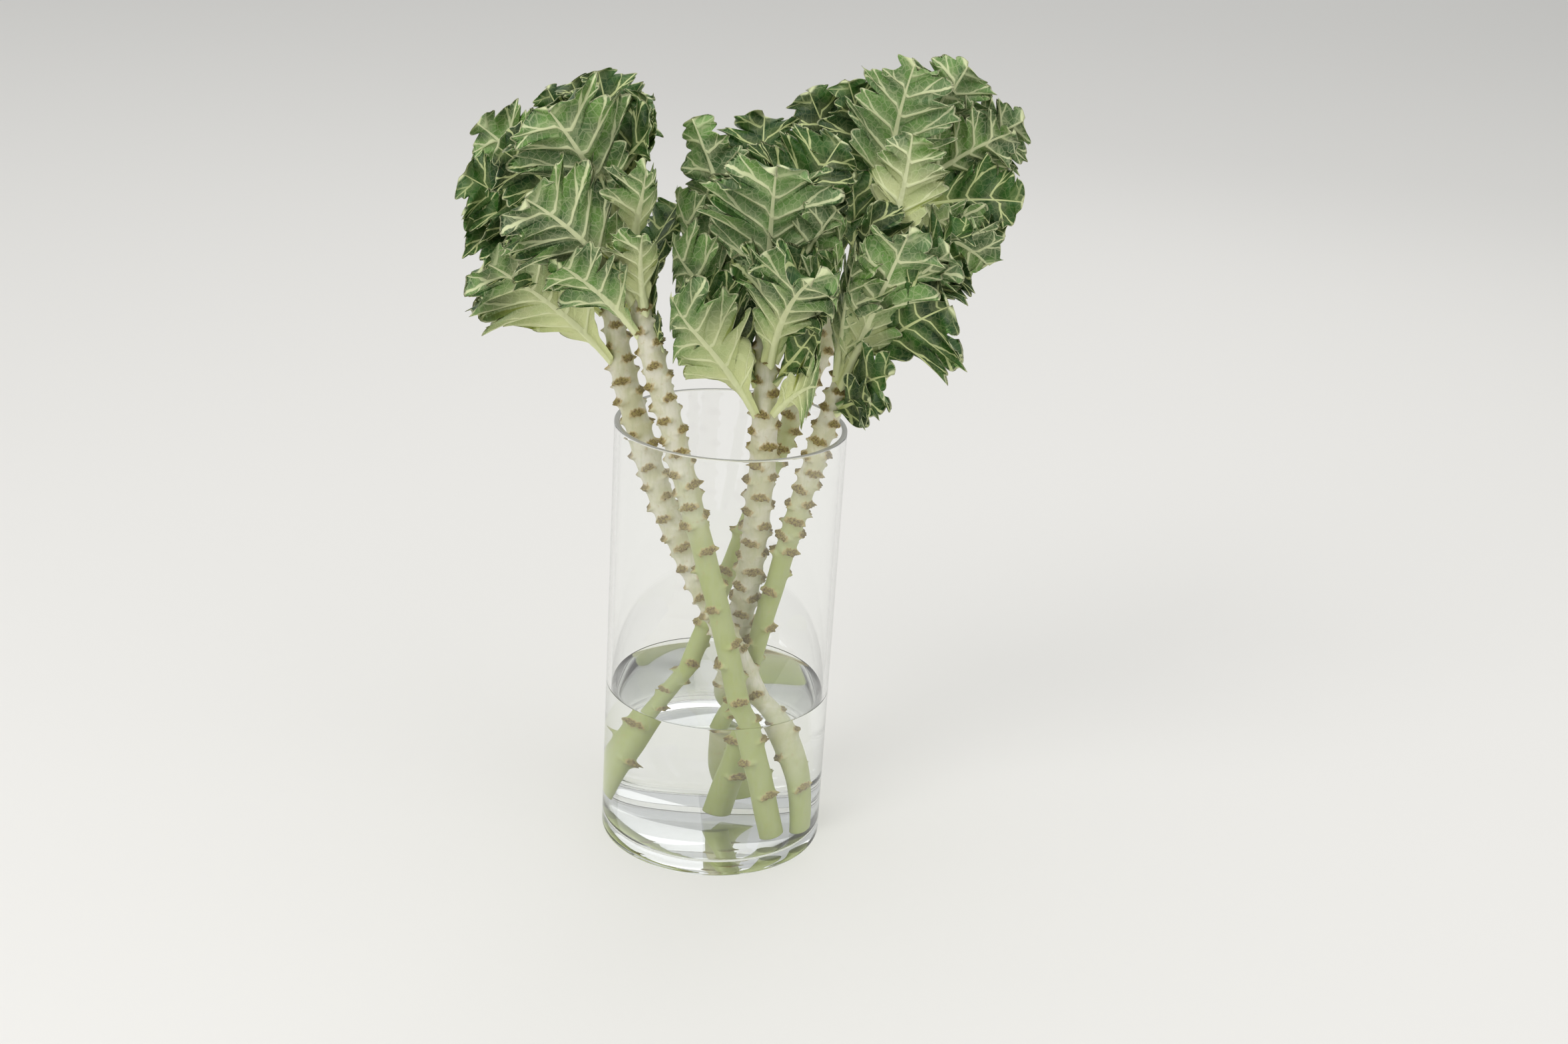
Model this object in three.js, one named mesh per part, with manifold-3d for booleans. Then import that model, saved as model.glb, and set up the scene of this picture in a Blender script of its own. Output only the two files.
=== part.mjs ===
// Five cut ornamental kale stems standing in a clear glass cylinder vase of water.
// Millimetres, +Z up. The origin is the centre of the vase's underside, and -Y is the front.
import * as THREE from 'three';
import { mergeVertices } from 'three/addons/utils/BufferGeometryUtils.js';
import Module from 'manifold-3d';

const wasm = await Module();
wasm.setup();

const vase = { radius: 75, height: 291, wall: 3.5, floor: 9, footRound: 2.5, rimRound: 0.9, sides: 40 };
const waterLevel = 106;
const gap = 0.3;
const tidy = 0.25;

const stalkSides = 8;
const stalkStep = 26;
const scar = { first: 34, wetStep: 30, dryStep: 14.5, width: 0.95, depth: 7, stand: 2.2 };
const goldenTurn = 137.5;
const holeClearance = 0.7;

const blade = {
  thickness: 1.1, lobeEvery: 32, mostLobes: 3, petioleShare: 0.1, petioleWidth: 0.15, lobeDepth: 0.26,
  widest: 0.34, shoulder: 0.42, fold: 16, root: 0.75, ruffle: 0.11, sweep: 0.95, sweepFall: 0.45,
  ribTop: 0.6, ribUnder: 2.8, ribTip: 0.9, tip: 0.985,
  gapToNextHead: 2.6, give: 14, rooted: 0.25,
};
const coreTip = 0.42;

// Each stem is a curve from its foot on the vase's floor to the tip of its head of leaves.
// A leaf reads: distance below the tip, turn from the front towards the right, rise away from
// the stalk, length, width, bend along its length, and roll about its midrib. The last line of
// each stem is the smaller leaves that a rule spreads behind: how many, round which turn, how far.
const stems = [
  {
    name: 'left_back', radius: 8, head: 115, sparseBelow: 120,
    path: [[53, -16, 9.8], [56, -17, 122], [-70, -12, 196], [-86, -6, 430]],
    leaves: [
      [101, -55, 30, 106, 76, 20, 60], [70, -70, 35, 104, 58, 20, -65], [44, -75, 40, 100, 62, 15, -65],
      [24, -90, 35, 98, 58, 15, 80], [4, -80, 15, 76, 46, 10, -70], [60, -80, 35, 80, 58, 20, -60],
      [20, -50, 40, 86, 56, 10, -75],
    ],
    behind: [3, 170, 60],
  },
  {
    name: 'left_front', radius: 7.2, head: 118, sparseBelow: 230,
    path: [[36, -25, 11.3], [-8, -48, 250], [-60, -56, 350], [-73, -50, 462]],
    leaves: [
      [84, -45, 20, 98, 74, 30, 60], [40, -45, 15, 86, 74, 20, 50], [12, -110, 15, 62, 48, 10, -30],
      [6, -115, 0, 58, 48, 10, -30], [24, 100, 15, 62, 52, 10, 55], [50, 35, 30, 64, 48, 20, -20],
      [92, 25, 10, 62, 42, 40, -20], [104, 110, 5, 56, 40, 5, 45], [104, -50, 25, 72, 48, 20, 40],
      [116, 75, 25, 24, 22, 20, 80],
    ],
    behind: [2, -165, 40],
  },
  {
    name: 'middle', radius: 8.3, head: 112, sparseBelow: 90,
    path: [[11, 52, 13.4], [-14, 44, 67], [44, -26, 215], [12, -32, 410]],
    leaves: [
      [45, 20, 10, 110, 80, 15, -15], [72, 25, 20, 104, 78, 40, -35], [106, -75, 25, 98, 58, 15, 80],
      [70, -70, 25, 104, 56, 20, 70], [40, -105, 10, 112, 46, 10, 75], [4, 165, 20, 84, 62, 10, 10],
      [20, 105, 25, 94, 68, 15, 60], [48, 65, 20, 90, 52, 20, -55], [78, -95, 10, 100, 54, 20, -65],
      [104, 55, 35, 66, 46, 50, -100], [84, 60, 30, 62, 54, 20, 90], [66, -95, 20, 114, 50, 15, 70],
      [64, 60, 25, 80, 56, 25, 80],
    ],
    behind: [2, 175, 30],
  },
  {
    name: 'right_back', radius: 6.5, head: 105, sparseBelow: 250,
    path: [[-53, 15, 12], [-2, 30, 160], [52, 44, 330], [103, 56, 458]],
    leaves: [
      [60, -85, 40, 98, 68, 10, -85], [40, -70, 35, 86, 56, 10, -90], [48, -25, 30, 118, 78, 10, 20],
      [14, 0, 20, 68, 52, 10, -5], [24, 15, 5, 84, 62, 15, -15], [34, 70, 20, 90, 60, 20, -75],
      [40, 60, 45, 90, 50, 30, 80], [50, 50, 55, 86, 54, 60, -85], [70, 35, 40, 68, 50, 20, -35],
      [30, -100, 5, 64, 58, 5, -70],
    ],
    behind: [3, 165, 55],
  },
  {
    name: 'right_front', radius: 6.5, head: 108, sparseBelow: 200,
    path: [[2, 20, 11.2], [32, -8, 180], [56, -24, 300], [92, -28, 410]],
    leaves: [
      [92, 60, 20, 88, 96, 25, 95], [88, 5, 10, 118, 68, 10, 0], [70, 50, 5, 98, 54, 30, -40],
      [104, 30, 35, 38, 34, 30, 105], [100, 35, 20, 62, 56, 40, 100], [84, -50, 15, 94, 58, 15, 30],
      [50, -70, 10, 82, 58, 10, -80], [6, -95, 5, 80, 48, 10, 90],
    ],
    behind: [2, 140, 40],
  },
];
const [leftBack, leftFront, middle, rightBack, rightFront] = stems;

// The flat gaps between heads that press together: the second head lies on the normal's side.
const partings = [
  { between: [leftBack, leftFront], normal: [0.45, -0.85, 0.28], at: 100 },
  { between: [leftBack, middle], normal: [0.88, -0.48, 0.08], at: 0 },
  { between: [leftFront, middle], normal: [0.99, 0, 0.08], at: -8.7 },
  { between: [middle, rightBack], normal: [0.58, 0.81, -0.02], at: 42 },
  { between: [middle, rightFront], normal: [0.98, 0.09, -0.18], at: -16 },
  { between: [rightFront, rightBack], normal: [0.11, 0.99, 0.09], at: 68 },
];
const rimClearance = { normal: new THREE.Vector3(0, 0, 1), at: vase.height + 6 };

const finish = {
  glass: new THREE.MeshStandardMaterial({ color: 0xe9efee, roughness: 0.03, metalness: 0 }),
  water: new THREE.MeshStandardMaterial({ color: 0xdfe9ea, roughness: 0.02, metalness: 0 }),
  stalk: new THREE.MeshStandardMaterial({ color: 0xd6d6b4, roughness: 0.6, metalness: 0 }),
  leaf: new THREE.MeshStandardMaterial({ color: 0x5d7d58, roughness: 0.55, metalness: 0 }),
};

const radians = THREE.MathUtils.degToRad;
const clamp = THREE.MathUtils.clamp;
const mix = THREE.MathUtils.lerp;

// A steady number from 0 to 1 for a seed and a place in its row.
function draw(seed, place) {
  const value = Math.sin(seed * 12.9898 + place * 78.233) * 43758.5453;
  return value - Math.floor(value);
}

function solidOf(geometry) {
  geometry.deleteAttribute('normal');
  geometry.deleteAttribute('uv');
  const merged = mergeVertices(geometry, 1e-4);
  return new wasm.Manifold(new wasm.Mesh({
    numProp: 3,
    vertProperties: new Float32Array(merged.attributes.position.array),
    triVerts: new Uint32Array(merged.index.array),
  }));
}

// Joins pieces into one body, with any hollow that this seals filled.
function fuse(parts) {
  const shells = wasm.Manifold.union(parts).simplify(tidy).decompose();
  return shells.reduce((largest, shell) => (shell.volume() > largest.volume() ? shell : largest));
}

function geometryOf(solid) {
  const mesh = solid.getMesh();
  const geometry = new THREE.BufferGeometry();
  geometry.setAttribute('position', new THREE.BufferAttribute(new Float32Array(mesh.vertProperties), 3));
  geometry.setIndex(new THREE.BufferAttribute(new Uint32Array(mesh.triVerts), 1));
  geometry.computeVertexNormals();
  return geometry;
}

function geometryFrom(points, faces) {
  const geometry = new THREE.BufferGeometry().setFromPoints(points);
  geometry.setIndex(faces);
  return geometry;
}

// A closed tube through rings of points, each ring with the same count, counter-clockwise
// as seen from the end of the tube.
function tubeThrough(rings) {
  const count = rings[0].length;
  const faces = [];
  for (let row = 0; row + 1 < rings.length; row += 1) {
    for (let side = 0; side < count; side += 1) {
      const next = (side + 1) % count;
      const low = row * count;
      const high = low + count;
      faces.push(low + side, low + next, high + next, low + side, high + next, high + side);
    }
  }
  const last = (rings.length - 1) * count;
  for (let side = 1; side + 1 < count; side += 1) {
    faces.push(0, side + 1, side, last, last + side, last + side + 1);
  }
  return geometryFrom(rings.flat(), faces);
}

// Where a stem is at a distance from its foot, with the directions along it, to its front
// and to its right.
function stationOn(stem, distance) {
  const share = clamp(distance / stem.length, 0, 1);
  const along = stem.curve.getTangentAt(share);
  const front = new THREE.Vector3(0, -1, 0);
  front.addScaledVector(along, -front.dot(along)).normalize();
  return { point: stem.curve.getPointAt(share), along, front, right: along.clone().cross(front) };
}

function outwardOf(station, turn) {
  const angle = radians(turn);
  return station.front.clone().multiplyScalar(Math.cos(angle)).addScaledVector(station.right, Math.sin(angle));
}

function ringAround(station, radius) {
  const ring = [];
  for (let side = 0; side < stalkSides; side += 1) {
    ring.push(station.point.clone().addScaledVector(outwardOf(station, side * 360 / stalkSides), radius));
  }
  return ring;
}

function roundLength(stem, from, to, radiusAt) {
  const steps = Math.max(2, Math.round((to - from) / stalkStep));
  const rings = [];
  for (let step = 0; step <= steps; step += 1) {
    const distance = mix(from, to, step / steps);
    rings.push(ringAround(stationOn(stem, distance), radiusAt(distance)));
  }
  return solidOf(tubeThrough(rings));
}

// The ledge that a fallen leaf leaves: flat on top, running out into the stalk below it.
function scarLedge(stem, distance, turn) {
  const top = stationOn(stem, distance);
  const foot = stationOn(stem, distance - scar.depth);
  const outward = outwardOf(top, turn);
  const across = outward.clone().cross(top.along);
  const place = (station, side, reach, height = 0) => station.point.clone()
    .addScaledVector(outward, reach).addScaledVector(across, side).addScaledVector(station.along, height);
  const half = stem.radius * scar.width;
  const inner = stem.radius * 0.2;
  const outer = stem.radius + scar.stand;
  const corners = [
    place(foot, 0, inner), place(top, -half, inner), place(top, half, inner), place(top, 0, outer, 1.4),
  ];
  return solidOf(geometryFrom(corners, [0, 2, 1, 1, 2, 3, 0, 1, 3, 0, 3, 2]));
}

// Leaf scars climb the stalk in a spiral, close together where it is dry and pale.
function stalkSolid(stem) {
  const parts = [roundLength(stem, 0, stem.neck - gap, () => stem.radius)];
  let turn = 40;
  for (let distance = scar.first; distance < stem.neck - 4;) {
    parts.push(scarLedge(stem, distance, turn));
    distance += distance < stem.sparseBelow ? scar.wetStep : scar.dryStep;
    turn += goldenTurn;
  }
  return fuse(parts);
}

const lobesOf = (length) => clamp(Math.round(length / blade.lobeEvery), 2, blade.mostLobes);

// The outline of half a blade: narrow petiole, lobes and a round tip, as a share of half the
// leaf's width where a side vein leaves the midrib at a share u of its length.
function outlineAt(u, lobes) {
  const t = clamp((u - blade.petioleShare) / (1 - blade.petioleShare), 0, 1);
  const lobePhase = Math.PI * (lobes + 0.5) * t;
  const notch = blade.lobeDepth * (1 - Math.abs(Math.sin(lobePhase))) * clamp(t * 6, 0, 1);
  const rise = clamp(t / blade.widest, 0, 1);
  const widening = mix(blade.petioleWidth, 1, rise * rise * (3 - 2 * rise));
  const rounding = Math.sqrt(Math.max(0, 1 - ((t - blade.shoulder) / (1 - blade.shoulder)) ** 2));
  return { t, lobePhase, width: (t < blade.shoulder ? widening : rounding) * (1 - notch) };
}

// The middle surface of a leaf at a share u of its length, and v from -1 to 1 across it.
function bladePoint(stem, leaf, seed, u, v) {
  const [down, turn, riseAngle, length, width, bendAngle, rollAngle] = leaf;
  const station = stationOn(stem, stem.length - down);
  const outward = outwardOf(station, turn);
  const stalkRadius = stem.radius * (0.45 + 0.55 * Math.min(1, down / 70));
  const rise = radians(riseAngle);
  const bend = radians(bendAngle);
  const outline = outlineAt(u, lobesOf(length));
  const side = Math.abs(v);
  const reach = width / 2 * outline.width * v;
  const run = u + blade.sweep * (1 - blade.sweepFall * u) * Math.abs(reach) / length;
  const angle = rise + bend * run;
  const flat = Math.abs(bend) < 1e-3;
  const alongShare = flat ? run * Math.cos(rise) : (Math.sin(angle) - Math.sin(rise)) / bend;
  const outShare = flat ? run * Math.sin(rise) : (Math.cos(rise) - Math.cos(angle)) / bend;
  const heading = station.along.clone().multiplyScalar(Math.cos(angle))
    .addScaledVector(outward, Math.sin(angle));
  const facing = station.along.clone().multiplyScalar(Math.sin(angle))
    .addScaledVector(outward, -Math.cos(angle));
  const roll = radians(rollAngle) * clamp(u / 0.35, 0, 1);
  const normal = facing.clone().applyAxisAngle(heading, roll);
  const across = normal.clone().cross(heading);
  const fold = Math.abs(reach) * Math.tan(radians(blade.fold)) * (1 - 0.45 * side);
  const wavePhase = outline.lobePhase + seed * 2.1 + (v > 0 ? 1.7 : 0);
  const wave = width * blade.ruffle * side ** 1.5 * Math.sin(wavePhase) * clamp(outline.t * 3, 0, 1);
  const point = station.point.clone()
    .addScaledVector(outward, stalkRadius * blade.root + length * outShare)
    .addScaledVector(station.along, length * alongShare)
    .addScaledVector(across, reach)
    .addScaledVector(normal, fold + wave);
  return { point, normal };
}

// Stations along a leaf: its root, then each lobe and notch up to the tip.
function bladeRows(lobes) {
  const rows = [0];
  for (let step = 1; step <= 2 * lobes; step += 1) {
    rows.push(mix(blade.petioleShare, 1, step / (2 * lobes + 1)));
  }
  rows.push(blade.tip);
  return rows;
}

// A leaf that nears a parting is pressed back along it, ever more gently, and never passes it.
function pressBack(point, u, partingsOf) {
  for (const { normal, at } of partingsOf) {
    const room = point.dot(normal) - at - blade.gapToNextHead;
    if (room >= blade.give) continue;
    const pressed = blade.give * Math.exp(room / blade.give - 1);
    point.addScaledVector(normal, (pressed - room) * clamp(u / blade.rooted, 0, 1));
  }
}

function leafSolid(stem, leaf, seed) {
  const rows = bladeRows(lobesOf(leaf[3])).map((u) => ({
    u, points: [0, 1, -1].map((v) => bladePoint(stem, leaf, seed, u, v)),
  }));
  rows.forEach(({ u, points }) => points.forEach(({ point }) => pressBack(point, u, stem.partings)));
  const points = [];
  for (const { u, points: [rib, left, right] } of rows) {
    const under = mix(blade.ribUnder, blade.ribTip, u);
    const half = blade.thickness / 2;
    const offset = ({ point, normal }, height) => points.push(point.clone().addScaledVector(normal, height));
    offset(rib, blade.ribTop);
    offset(rib, -under);
    offset(left, half);
    offset(left, -half);
    offset(right, half);
    offset(right, -half);
  }
  const [ribTop, ribUnder, leftTop, leftUnder, rightTop, rightUnder] = [0, 1, 2, 3, 4, 5];
  const faces = [];
  const quad = (a, b, c, d) => faces.push(a, b, c, a, c, d);
  for (let row = 0; row + 1 < rows.length; row += 1) {
    const low = row * 6;
    const high = low + 6;
    quad(low + ribTop, high + ribTop, high + leftTop, low + leftTop);
    faces.push(low + ribTop, high + rightTop, high + ribTop, low + ribTop, low + rightTop, high + rightTop);
    faces.push(low + ribUnder, high + leftUnder, high + ribUnder, low + ribUnder, low + leftUnder, high + leftUnder);
    quad(low + ribUnder, high + ribUnder, high + rightUnder, low + rightUnder);
    quad(low + leftTop, high + leftTop, high + leftUnder, low + leftUnder);
    quad(low + rightTop, low + rightUnder, high + rightUnder, high + rightTop);
  }
  const loop = [leftTop, leftUnder, ribUnder, rightUnder, rightTop];
  const last = (rows.length - 1) * 6;
  for (let corner = 0; corner + 1 < loop.length; corner += 1) {
    faces.push(ribTop, loop[corner], loop[corner + 1]);
    faces.push(last + ribTop, last + loop[corner + 1], last + loop[corner]);
  }
  return solidOf(geometryFrom(points, faces));
}

// Smaller leaves spread over the side of a head that its own list leaves open.
function leavesBehind(stem) {
  const [count, middleTurn, spread] = stem.behind;
  const leaves = [];
  for (let place = 0; place < count; place += 1) {
    const share = (place + 0.5) / count;
    const turn = middleTurn + spread * (2 * ((place * 0.618034) % 1) - 1);
    const bend = 16 + 8 * draw(place + 3, 1);
    const roll = 30 * (draw(place + 3, 2) - 0.5);
    leaves.push([8 + share * (stem.head - 26), turn, 16 + 20 * share, 68 + 24 * share, 46 + 8 * share, bend, roll]);
  }
  return leaves;
}

function headSolid(stem) {
  const taper = (distance) => stem.radius * mix(1, coreTip, (distance - stem.neck) / stem.head);
  const parts = [roundLength(stem, stem.neck, stem.length, taper)];
  [...stem.leaves, ...leavesBehind(stem)].forEach((leaf, place) => {
    parts.push(leafSolid(stem, leaf, place + 1));
  });
  return fuse(parts);
}

function vaseGeometry() {
  const inner = vase.radius - vase.wall;
  const { radius, height, floor, footRound, rimRound } = vase;
  const profile = [
    [0, 0], [radius - footRound, 0], [radius, footRound],
    [radius, height - rimRound], [radius - rimRound, height], [inner + rimRound, height],
    [inner, height - rimRound], [inner, floor + footRound], [inner - footRound, floor], [0, floor],
  ];
  return new THREE.LatheGeometry(profile.map(([x, y]) => new THREE.Vector2(x, y)), vase.sides);
}

function waterGeometry() {
  const inner = vase.radius - vase.wall - gap;
  const bottom = vase.floor + gap;
  const profile = [
    [0, bottom], [inner - vase.footRound, bottom], [inner, bottom + vase.footRound],
    [inner, waterLevel], [0, waterLevel],
  ];
  return new THREE.LatheGeometry(profile.map(([x, y]) => new THREE.Vector2(x, y)), vase.sides);
}

function closedLathe(geometry) {
  return solidOf(geometry.rotateX(Math.PI / 2));
}

// The stalks stand in plain round holes in the water, wide enough for their scars.
function waterSolid() {
  let water = closedLathe(waterGeometry());
  for (const stem of stems) {
    const radius = stem.radius + scar.stand + holeClearance;
    const rings = [];
    for (let height = -1; height <= 5; height += 1) {
      const station = stationOn(stem, Math.max(0, height * stalkStep));
      if (height < 0) station.point.addScaledVector(station.along, -stalkStep);
      rings.push(ringAround(station, radius));
    }
    water = water.subtract(solidOf(tubeThrough(rings)));
  }
  return water;
}

for (const stem of stems) {
  stem.curve = new THREE.CubicBezierCurve3(...stem.path.map((point) => new THREE.Vector3(...point)));
  stem.length = stem.curve.getLength();
  stem.neck = stem.length - stem.head;
  stem.partings = [rimClearance];
}
for (const { between: [first, second], normal, at } of partings) {
  const across = new THREE.Vector3(...normal).normalize();
  second.partings.push({ normal: across, at });
  first.partings.push({ normal: across.clone().negate(), at: -at });
}

const group = new THREE.Group();

function add(name, geometry, material) {
  const mesh = new THREE.Mesh(geometry, material);
  mesh.name = name;
  group.add(mesh);
}

add('vase', geometryOf(closedLathe(vaseGeometry())), finish.glass);
add('water', geometryOf(waterSolid()), finish.water);
for (const stem of stems) {
  add(`stalk_${stem.name}`, geometryOf(stalkSolid(stem)), finish.stalk);
  add(`leaves_${stem.name}`, geometryOf(headSolid(stem)), finish.leaf);
}

export default group;
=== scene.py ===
import math
import bpy
import bmesh
import numpy as np
from mathutils import Matrix, Vector


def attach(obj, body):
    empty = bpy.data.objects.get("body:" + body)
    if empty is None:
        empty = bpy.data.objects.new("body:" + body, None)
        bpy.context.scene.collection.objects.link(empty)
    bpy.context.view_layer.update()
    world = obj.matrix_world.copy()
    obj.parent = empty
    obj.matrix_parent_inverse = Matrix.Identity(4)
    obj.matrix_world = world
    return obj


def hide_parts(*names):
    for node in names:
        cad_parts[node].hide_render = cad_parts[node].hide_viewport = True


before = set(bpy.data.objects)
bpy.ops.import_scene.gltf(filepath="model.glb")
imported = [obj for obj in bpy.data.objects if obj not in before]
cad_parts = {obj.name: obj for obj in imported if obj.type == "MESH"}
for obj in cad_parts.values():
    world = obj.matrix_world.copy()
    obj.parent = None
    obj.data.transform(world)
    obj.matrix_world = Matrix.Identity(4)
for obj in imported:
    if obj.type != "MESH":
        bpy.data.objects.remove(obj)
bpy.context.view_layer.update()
mm = 0.001
print("frame loaded")


# Five cut kale stems, in mm and degrees. path: foot, two handles and tip. Below the distances
# sparseBelow and greenBelow from the foot, scars stand far apart and the stalk is green.
# Each leaf reads: distance below the tip, turn from the front to the right, rise off the stalk,
# length, width, bend, roll, then cream (how far the pale base runs up the blade).
# behind: count, turn and spread of the leaves that a rule places. inner: leaves that close the
# gaps between the others and that the CAD does without.
stems = [
    {"name": "left_back", "radius": 8, "head": 115, "sparseBelow": 120, "greenBelow": 60,
     "path": [(53, -16, 9.8), (56, -17, 122), (-70, -12, 196), (-86, -6, 430)],
     "leaves": [
         (101, -55, 30, 106, 76, 20, 60, 0.75), (70, -70, 35, 104, 58, 20, -65, 0.35),
         (44, -75, 40, 100, 62, 15, -65, 0.3), (24, -90, 35, 98, 58, 15, 80, 0.3),
         (4, -80, 15, 76, 46, 10, -70, 0.2), (60, -80, 35, 80, 58, 20, -60, 0.3),
         (20, -50, 40, 86, 56, 10, -75, 0.3)],
     "behind": (3, 170, 60),
     "inner": []},
    {"name": "left_front", "radius": 7.2, "head": 118, "sparseBelow": 230, "greenBelow": 240,
     "path": [(36, -25, 11.3), (-8, -48, 250), (-60, -56, 350), (-73, -50, 462)],
     "leaves": [
         (84, -45, 20, 98, 74, 30, 60, 0.4), (40, -45, 15, 86, 74, 20, 50, 0.3),
         (12, -110, 15, 62, 48, 10, -30, 0.15), (6, -115, 0, 58, 48, 10, -30, 0.15),
         (24, 100, 15, 62, 52, 10, 55, 0.2), (50, 35, 30, 64, 48, 20, -20, 0.5),
         (92, 25, 10, 62, 42, 40, -20, 0.8), (104, 110, 5, 56, 40, 5, 45, 0.2),
         (104, -50, 25, 72, 48, 20, 40, 0.35), (116, 75, 25, 24, 22, 20, 80, 0.1)],
     "behind": (2, -165, 40),
     "inner": [
         (2, 65, 40, 38, 40, 20, 60, 0.2)]},
    {"name": "middle", "radius": 8.3, "head": 112, "sparseBelow": 90, "greenBelow": 40,
     "path": [(11, 52, 13.4), (-14, 44, 67), (44, -26, 215), (12, -32, 410)],
     "leaves": [
         (45, 20, 10, 110, 80, 15, -15, 0.25), (72, 25, 20, 104, 78, 40, -35, 0.4),
         (106, -50, 30, 120, 62, 15, 65, 0.7), (70, -70, 25, 104, 56, 20, 70, 0.3),
         (40, -105, 10, 122, 46, 10, 85, 0.3), (4, 165, 20, 84, 62, 10, 10, 0.15),
         (20, 105, 25, 94, 68, 15, 60, 0.15), (48, 65, 20, 90, 52, 20, -55, 0.45),
         (78, -95, 20, 80, 50, 20, -50, 0.15), (104, 45, 40, 76, 50, 40, -95, 0.75),
         (84, 60, 30, 62, 54, 20, 90, 0.15), (66, -95, 20, 114, 50, 15, 70, 0.5),
         (64, 60, 25, 80, 56, 25, 80, 0.3)],
     "behind": (2, 175, 30),
     "inner": [
         (10, 135, 20, 76, 52, 10, 30, 0.2), (86, -60, 15, 90, 48, 30, -95, 0.15),
         (60, 80, 25, 94, 52, 25, -75, 0.35),
         (70, 65, 25, 96, 44, 25, -60, 0.35)]},
    {"name": "right_back", "radius": 6.5, "head": 105, "sparseBelow": 250, "greenBelow": 280,
     "path": [(-53, 15, 12), (-2, 30, 160), (52, 44, 330), (103, 56, 458)],
     "leaves": [
         (60, -85, 40, 98, 68, 10, -85, 0.15), (40, -70, 35, 86, 56, 10, -90, 0.15),
         (48, -25, 30, 116, 68, 10, 20, 0.35), (14, 0, 20, 68, 46, 10, -5, 0.6),
         (24, 15, 8, 90, 60, 10, -15, 0.35), (34, 65, 25, 98, 58, 15, -70, 0.3),
         (40, 60, 45, 90, 50, 30, 80, 0.4), (50, 50, 55, 86, 54, 60, -85, 0.35),
         (70, 35, 40, 70, 38, 20, -35, 1.0), (30, -100, 5, 64, 58, 5, -70, 0.3)],
     "behind": (3, 165, 55),
     "inner": [
         (40, 50, 20, 98, 52, 30, -45, 0.3), (44, 65, 45, 80, 40, 50, 70, 0.2),
         (98, -60, 35, 60, 54, 20, -80, 0.2), (84, -50, 20, 66, 56, 20, -90, 0.2)]},
    {"name": "right_front", "radius": 6.5, "head": 108, "sparseBelow": 200, "greenBelow": 230,
     "path": [(2, 20, 11.2), (32, -8, 180), (56, -24, 300), (92, -28, 410)],
     "leaves": [
         (70, 60, 25, 74, 76, 20, 95, 0.12), (88, 5, 10, 118, 68, 10, 0, 0.45),
         (70, 50, 5, 98, 54, 30, -40, 0.35), (104, 30, 35, 38, 34, 30, 105, 0.15),
         (100, 35, 20, 54, 46, 40, 100, 0.15), (84, -50, 15, 94, 58, 15, 30, 0.3),
         (50, -70, 10, 82, 58, 10, -80, 0.2), (6, -95, 5, 80, 48, 10, 90, 0.85)],
     "behind": (2, 140, 40),
     "inner": [
         (30, 105, 30, 58, 60, 20, 45, 0.2)]},
]
# A parting is a plane between two heads: the head behind it, the head before it, its normal
# and its distance from the origin in mm.
partings = [
    ("left_back", "left_front", (0.45, -0.85, 0.28), 100),
    ("left_back", "middle", (0.88, -0.48, 0.08), 0),
    ("left_front", "middle", (0.99, 0, 0.08), -8.7),
    ("middle", "right_back", (0.58, 0.81, -0.02), 42),
    ("middle", "right_front", (0.98, 0.09, -0.18), -16),
    ("right_front", "right_back", (0.11, 0.99, 0.09), 68),
]
vase = {
    "radius": 75, "height": 291, "wall": 3.5, "floor": 9, "sides": 160, "rimRound": 0.9, "rimBand": 0.5,
    "footRound": 2.5, "wellRound": 4, "hollow": 1.4, "hollowRadius": 66, "leavesClear": 6,
}
water = {"level": 106, "overlap": 0.2, "creep": 1.8, "creepWidth": 4, "edge": 4.8}


def mix(a, b, share):
    return a + (b - a) * share


def draw(seed, place):
    value = math.sin(seed * 12.9898 + place * 78.233) * 43758.5453
    return value - math.floor(value)


def smooth(low, high, values):
    share = np.clip((values - low) / (high - low), 0, 1)
    return share * share * (3 - 2 * share)


# The stem's curve is walked by its length, so a distance from the foot gives a place on it.
def layOutStem(stem):
    foot, handleA, handleB, tip = [np.array(p, float) for p in stem["path"]]
    t = np.linspace(0, 1, 201)[:, None]
    away = 1 - t
    points = away**3 * foot + 3 * away**2 * t * handleA + 3 * away * t * t * handleB + t**3 * tip
    tangents = away**2 * (handleA - foot) + 2 * away * t * (handleB - handleA) + t * t * (tip - handleB)
    steps = np.linalg.norm(np.diff(points, axis=0), axis=1)
    stem["points"], stem["tangents"] = points, tangents
    stem["walked"] = np.concatenate([[0], np.cumsum(steps)])
    stem["length"] = stem["walked"][-1]
    stem["neck"] = stem["length"] - stem["head"]
    # no leaf comes down to the rim of the vase
    stem["partings"] = [(np.array([0, 0, 1.0]), vase["height"] + vase["leavesClear"])]


def stationsOn(stem, distances):
    distances = np.atleast_1d(distances)
    point = np.stack([np.interp(distances, stem["walked"], stem["points"][:, k]) for k in range(3)], 1)
    along = np.stack([np.interp(distances, stem["walked"], stem["tangents"][:, k]) for k in range(3)], 1)
    along /= np.linalg.norm(along, axis=1)[:, None]
    front = np.array([0, -1.0, 0]) + along * along[:, 1:2]
    front /= np.linalg.norm(front, axis=1)[:, None]
    return point, along, front, np.cross(along, front)


for stem in stems:
    layOutStem(stem)
byName = {stem["name"]: stem for stem in stems}
for first, second, normal, at in partings:
    across = np.array(normal) / np.linalg.norm(normal)
    byName[second]["partings"].append((across, at))
    byName[first]["partings"].append((-across, -at))


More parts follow.
